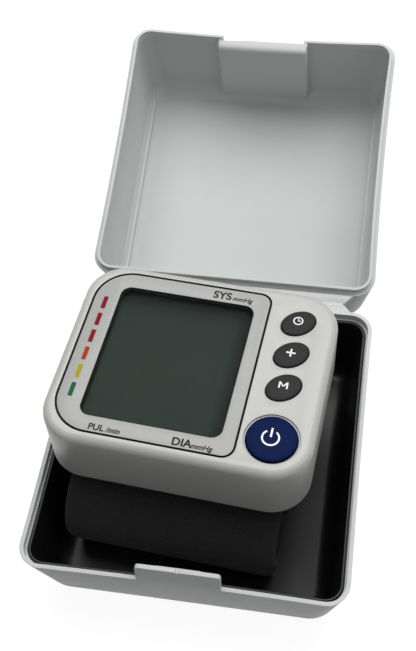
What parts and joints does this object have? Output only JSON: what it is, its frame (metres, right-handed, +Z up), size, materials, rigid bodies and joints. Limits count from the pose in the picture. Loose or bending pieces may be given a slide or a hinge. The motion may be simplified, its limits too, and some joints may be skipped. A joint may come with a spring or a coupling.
{
  "type": "wrist blood pressure monitor",
  "caption": "Rounded wrist blood pressure monitor with a display, side buttons and a fabric cuff, lying in a hinged plastic storage case with its lid open.",
  "frame": {"origin": "centre of the flat underside of the case base, where it stands on a table", "axes": "+Z up from the table, +Y from the latch tongue towards the lid hinge, +X to the right, along the hinge"},
  "size_m": [0.089, 0.1875, 0.0558],
  "materials": {
    "case_plastic": "satin moulded light grey",
    "housing_plastic": "satin warm white",
    "panel_plastic": "silver-grey printed sheet",
    "window": "clear gloss",
    "display_glass": "dark green-grey liquid crystal",
    "button_rubber": "matt dark grey",
    "power_rubber": "matt navy",
    "white_plastic": "natural",
    "black_plastic": "satin",
    "board": "green solder mask",
    "rubber": "matt",
    "silicone": "translucent",
    "steel": "nickel plated",
    "cell_jacket": "plain jacket",
    "cuff_fabric": "black woven nylon"
  },
  "bodies": {
    "case": {"case_base": "case_plastic", "base_liner": "black_plastic"},
    "lid": {"case_lid": "case_plastic"},
    "monitor": {"front_housing": "housing_plastic", "rear_housing": "black_plastic", "housing_screw_1": "steel", "housing_screw_2": "steel", "housing_screw_3": "steel", "housing_screw_4": "steel", "display_panel": "panel_plastic", "display_lens": "window", "lcd_display": "display_glass", "lcd_carrier": "white_plastic", "zebra_strip": "rubber", "switch_clock": "steel", "switch_plus": "steel", "switch_memory": "steel", "switch_power": "steel", "circuit_board": "board", "control_chip": "black_plastic", "buzzer": "black_plastic", "pressure_sensor": "white_plastic", "battery_tray": "white_plastic", "battery_outer": "cell_jacket", "battery_inner": "cell_jacket", "series_contact": "steel", "plus_contact": "steel", "minus_contact": "steel", "pump_motor": "steel", "pump_head": "black_plastic", "air_valve": "black_plastic", "air_manifold": "white_plastic", "pump_hose": "silicone", "valve_hose": "silicone", "sensor_hose": "silicone", "cuff_hose": "silicone", "cuff_port": "white_plastic", "cuff_band": "cuff_fabric", "cuff_stiffener": "black_plastic", "cuff_bladder": "rubber", "cuff_lining": "cuff_fabric", "hook_patch": "black_plastic", "loop_patch": "cuff_fabric", "cuff_rivet_1": "black_plastic", "cuff_rivet_2": "black_plastic", "cuff_rivet_3": "black_plastic", "cuff_rivet_4": "black_plastic"},
    "clock_key": {"button_clock": "button_rubber"},
    "plus_key": {"button_plus": "button_rubber"},
    "memory_key": {"button_memory": "button_rubber"},
    "power_key": {"button_power": "power_rubber"},
    "battery_cover": {"battery_door": "housing_plastic"}
  },
  "joints": [
    {"name": "lid_hinge", "type": "hinge", "parent": "case", "child": "lid", "pos_m": [0, 0.0481, 0.0278], "axis": [-1, 0, 0], "range_deg": [-166.2, 0]},
    {"name": "monitor_lift", "type": "slide", "parent": "case", "child": "monitor", "axis": [0, 0, 1], "range_m": [0, 0.095]},
    {"name": "clock_press", "type": "slide", "parent": "monitor", "child": "clock_key", "axis": [-0.0065, -0.0852, -0.9963], "range_m": [0, 0.0006], "stiffness_N_per_m": 2000},
    {"name": "plus_press", "type": "slide", "parent": "monitor", "child": "plus_key", "axis": [-0.0065, -0.0852, -0.9963], "range_m": [0, 0.0006], "stiffness_N_per_m": 2000},
    {"name": "memory_press", "type": "slide", "parent": "monitor", "child": "memory_key", "axis": [-0.0065, -0.0852, -0.9963], "range_m": [0, 0.0006], "stiffness_N_per_m": 2000},
    {"name": "power_press", "type": "slide", "parent": "monitor", "child": "power_key", "axis": [-0.0065, -0.0852, -0.9963], "range_m": [0, 0.0006], "stiffness_N_per_m": 2000},
    {"name": "battery_door_slide", "type": "slide", "parent": "monitor", "child": "battery_cover", "axis": [-0.9971, 0.0767, 0], "range_m": [0, 0.012]}
  ]
}
